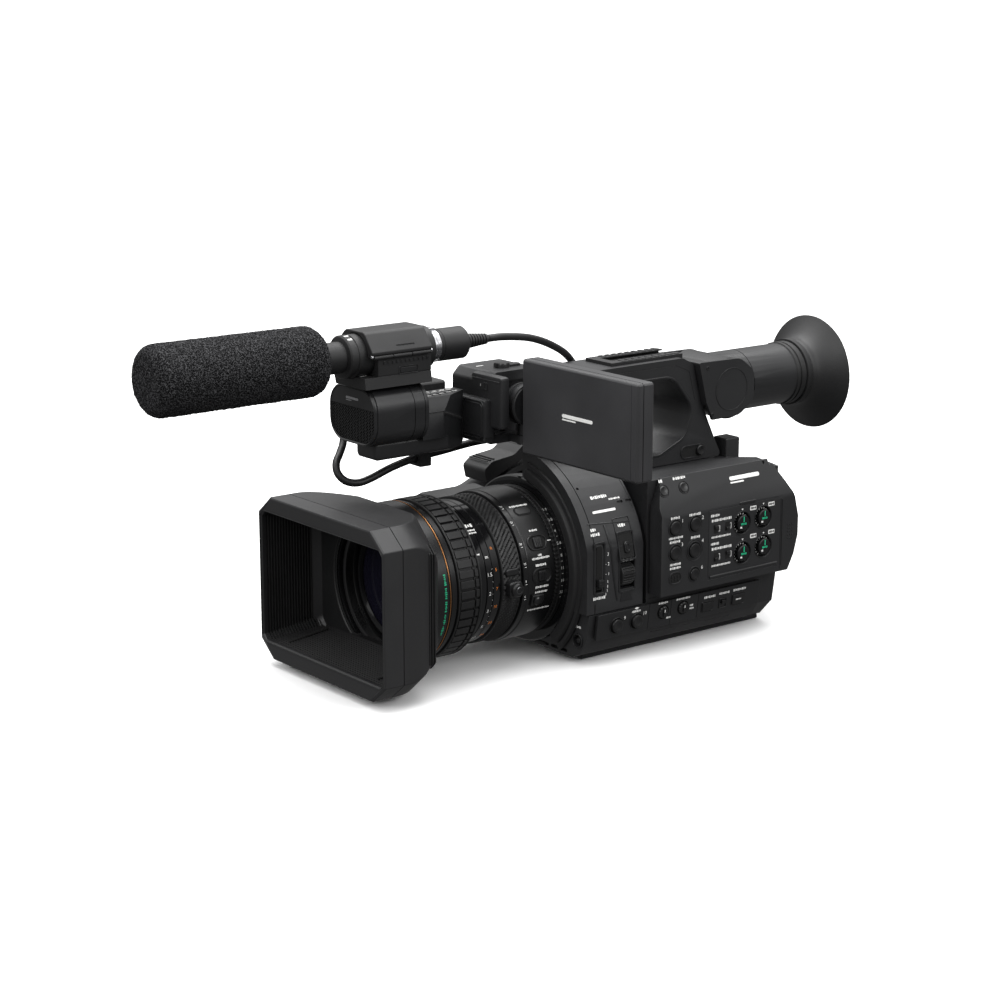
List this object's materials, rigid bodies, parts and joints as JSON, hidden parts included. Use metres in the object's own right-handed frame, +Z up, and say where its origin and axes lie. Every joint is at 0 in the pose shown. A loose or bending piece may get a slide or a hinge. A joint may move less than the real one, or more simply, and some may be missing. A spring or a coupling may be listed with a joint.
{
  "type": "camcorder",
  "caption": "Handheld camcorder with top handle, lens rings and hood, foam-covered shotgun microphone, swing-out screen, tilting viewfinder, and hand grip.",
  "frame": {"origin": "on the underside of the base plate, below the lens axis, 20 mm ahead of the tripod socket", "axes": "-Y is the way the lens looks, +X is the operator's left side with the controls, +Z is up"},
  "size_m": [0.2283, 0.4805, 0.2039],
  "materials": {
    "body_plastic": "satin charcoal, fine grain",
    "lens_plastic": "satin black",
    "dark_plastic": "matt black",
    "hood_plastic": "fine matt black grain",
    "ring_rubber": "ribbed black rubber",
    "button_rubber": "matt",
    "foam": "open-cell foam",
    "strap": "padded",
    "cable_rubber": "matt",
    "plug_metal": "satin",
    "base_metal": "matt",
    "sensor_metal": "machined",
    "circuit_board": "solder mask",
    "glass": "coated",
    "screen_glass": "glossy",
    "record_red": "satin"
  },
  "bodies": {
    "camera": {"base_plate": "base_metal", "left_cover": "body_plastic", "right_cover": "body_plastic", "nose_housing": "body_plastic", "rear_panel": "body_plastic", "audio_panel": "body_plastic", "switch_ledge": "dark_plastic", "image_sensor_block": "sensor_metal", "main_circuit_board": "circuit_board", "hood_shell": "hood_plastic", "lens_inner_barrel": "lens_plastic", "lens_front_barrel": "lens_plastic", "distance_scale_barrel": "lens_plastic", "lens_switch_barrel": "lens_plastic", "lens_mount_ring": "lens_plastic", "front_lens_element": "glass", "grip_shell": "body_plastic", "hand_strap": "strap", "lens_servo_housing": "dark_plastic", "handle": "body_plastic", "accessory_shoe": "dark_plastic", "viewfinder_bracket": "body_plastic", "mic_module_shell": "body_plastic", "mic_module_grille": "dark_plastic", "mic_clamp_base": "dark_plastic", "microphone_body": "dark_plastic", "mic_windscreen": "foam", "mic_cable_plug": "dark_plastic", "mic_cable": "cable_rubber", "audio_input_box": "dark_plastic", "input_plug": "plug_metal", "cable_clip": "dark_plastic"},
    "focus_ring": {"focus_ring": "ring_rubber"},
    "zoom_ring": {"zoom_ring": "ring_rubber"},
    "iris_ring": {"iris_ring": "ring_rubber"},
    "hood_lock_knob": {"hood_lock_knob": "dark_plastic"},
    "mic_clamp_lid": {"mic_clamp_lid": "dark_plastic"},
    "mic_clamp_knob": {"mic_clamp_knob": "dark_plastic"},
    "screen_arm": {"lcd_arm": "dark_plastic"},
    "screen": {"lcd_panel": "body_plastic", "lcd_screen": "screen_glass"},
    "viewfinder": {"viewfinder_tube": "body_plastic", "eyecup": "ring_rubber", "eyepiece_lens": "glass"},
    "zoom_rocker": {"zoom_rocker": "dark_plastic"},
    "record_button": {"record_button": "record_red"},
    "battery": {"battery": "dark_plastic"},
    "nd_filter_knob": {"nd_filter_knob": "button_rubber"},
    "menu_dial": {"menu_dial": "button_rubber"},
    "audio_dial_1": {"audio_dial_1": "button_rubber"},
    "audio_dial_2": {"audio_dial_2": "button_rubber"},
    "audio_dial_3": {"audio_dial_3": "button_rubber"},
    "audio_dial_4": {"audio_dial_4": "button_rubber"},
    "assign_button_1": {"assign_button_1": "button_rubber"},
    "assign_button_2": {"assign_button_2": "button_rubber"},
    "assign_button_3": {"assign_button_3": "button_rubber"},
    "assign_button_4": {"assign_button_4": "button_rubber"},
    "assign_button_6": {"assign_button_6": "button_rubber"},
    "assign_button_9": {"assign_button_9": "button_rubber"},
    "assign_button_10": {"assign_button_10": "button_rubber"}
  },
  "joints": [
    {"name": "focus_turn", "type": "hinge", "parent": "camera", "child": "focus_ring", "pos_m": [0, -0.1304, 0.052], "axis": [0, 1, 0], "range_deg": [-60, 60]},
    {"name": "zoom_turn", "type": "hinge", "parent": "camera", "child": "zoom_ring", "pos_m": [0, -0.0985, 0.052], "axis": [0, 1, 0], "range_deg": [-45, 45]},
    {"name": "iris_turn", "type": "hinge", "parent": "camera", "child": "iris_ring", "pos_m": [0, -0.0642, 0.052], "axis": [0, 1, 0], "range_deg": [-50, 50]},
    {"name": "hood_lock_turn", "type": "hinge", "parent": "camera", "child": "hood_lock_knob", "pos_m": [0.016, -0.181, 0.0022], "axis": [0, 0, 1], "continuous": true},
    {"name": "mic_clamp_open", "type": "hinge", "parent": "camera", "child": "mic_clamp_lid", "pos_m": [0.017, -0.153, 0.1845], "axis": [0, 1, 0], "range_deg": [0, 95]},
    {"name": "mic_clamp_knob_turn", "type": "hinge", "parent": "camera", "child": "mic_clamp_knob", "pos_m": [-0.018, -0.16, 0.179], "axis": [1, 0, 0], "continuous": true},
    {"name": "screen_swing", "type": "hinge", "parent": "camera", "child": "screen_arm", "pos_m": [0.024, -0.075, 0.1495], "axis": [0, 0, 1], "range_deg": [0, 90]},
    {"name": "screen_tilt", "type": "hinge", "parent": "screen_arm", "child": "screen", "pos_m": [0.029, -0.075, 0.1495], "axis": [1, 0, 0], "range_deg": [-90, 180]},
    {"name": "viewfinder_tilt", "type": "hinge", "parent": "camera", "child": "viewfinder", "pos_m": [0, 0.088, 0.1385], "axis": [1, 0, 0], "range_deg": [0, 80]},
    {"name": "zoom_rocker_tilt", "type": "hinge", "parent": "camera", "child": "zoom_rocker", "pos_m": [-0.071, -0.018, 0.092], "axis": [1, 0, 0], "range_deg": [-7, 7], "stiffness_Nm_per_rad": 0.12},
    {"name": "record_press", "type": "slide", "parent": "camera", "child": "record_button", "axis": [0, -1, 0], "range_m": [0, 0.0015], "stiffness_N_per_m": 300},
    {"name": "battery_slide", "type": "slide", "parent": "camera", "child": "battery", "axis": [0, 1, 0], "range_m": [0, 0.075]},
    {"name": "nd_filter_slide", "type": "slide", "parent": "camera", "child": "nd_filter_knob", "axis": [0, 0, 1], "range_m": [0, 0.016]},
    {"name": "menu_dial_turn", "type": "hinge", "parent": "camera", "child": "menu_dial", "pos_m": [0.0602, -0.032, 0.051], "axis": [0, 1, 0], "continuous": true},
    {"name": "audio_dial_1_turn", "type": "hinge", "parent": "camera", "child": "audio_dial_1", "pos_m": [0.074, 0.0482, 0.0712], "axis": [1, 0, 0], "range_deg": [-150, 150]},
    {"name": "audio_dial_2_turn", "type": "hinge", "parent": "camera", "child": "audio_dial_2", "pos_m": [0.074, 0.0652, 0.0722], "axis": [1, 0, 0], "range_deg": [-150, 150]},
    {"name": "audio_dial_3_turn", "type": "hinge", "parent": "camera", "child": "audio_dial_3", "pos_m": [0.074, 0.0488, 0.053], "axis": [1, 0, 0], "range_deg": [-150, 150]},
    {"name": "audio_dial_4_turn", "type": "hinge", "parent": "camera", "child": "audio_dial_4", "pos_m": [0.074, 0.0658, 0.0544], "axis": [1, 0, 0], "range_deg": [-150, 150]},
    {"name": "assign_button_1_press", "type": "slide", "parent": "camera", "child": "assign_button_1", "axis": [-1, 0, 0], "range_m": [0, 0.0012], "stiffness_N_per_m": 200},
    {"name": "assign_button_2_press", "type": "slide", "parent": "camera", "child": "assign_button_2", "axis": [-1, 0, 0], "range_m": [0, 0.0012], "stiffness_N_per_m": 200},
    {"name": "assign_button_3_press", "type": "slide", "parent": "camera", "child": "assign_button_3", "axis": [-1, 0, 0], "range_m": [0, 0.0012], "stiffness_N_per_m": 200},
    {"name": "assign_button_4_press", "type": "slide", "parent": "camera", "child": "assign_button_4", "axis": [-1, 0, 0], "range_m": [0, 0.0012], "stiffness_N_per_m": 200},
    {"name": "assign_button_6_press", "type": "slide", "parent": "camera", "child": "assign_button_6", "axis": [-1, 0, 0], "range_m": [0, 0.0012], "stiffness_N_per_m": 200},
    {"name": "assign_button_9_press", "type": "slide", "parent": "camera", "child": "assign_button_9", "axis": [-1, 0, 0], "range_m": [0, 0.0008], "stiffness_N_per_m": 200},
    {"name": "assign_button_10_press", "type": "slide", "parent": "camera", "child": "assign_button_10", "axis": [-1, 0, 0], "range_m": [0, 0.0008], "stiffness_N_per_m": 200}
  ]
}
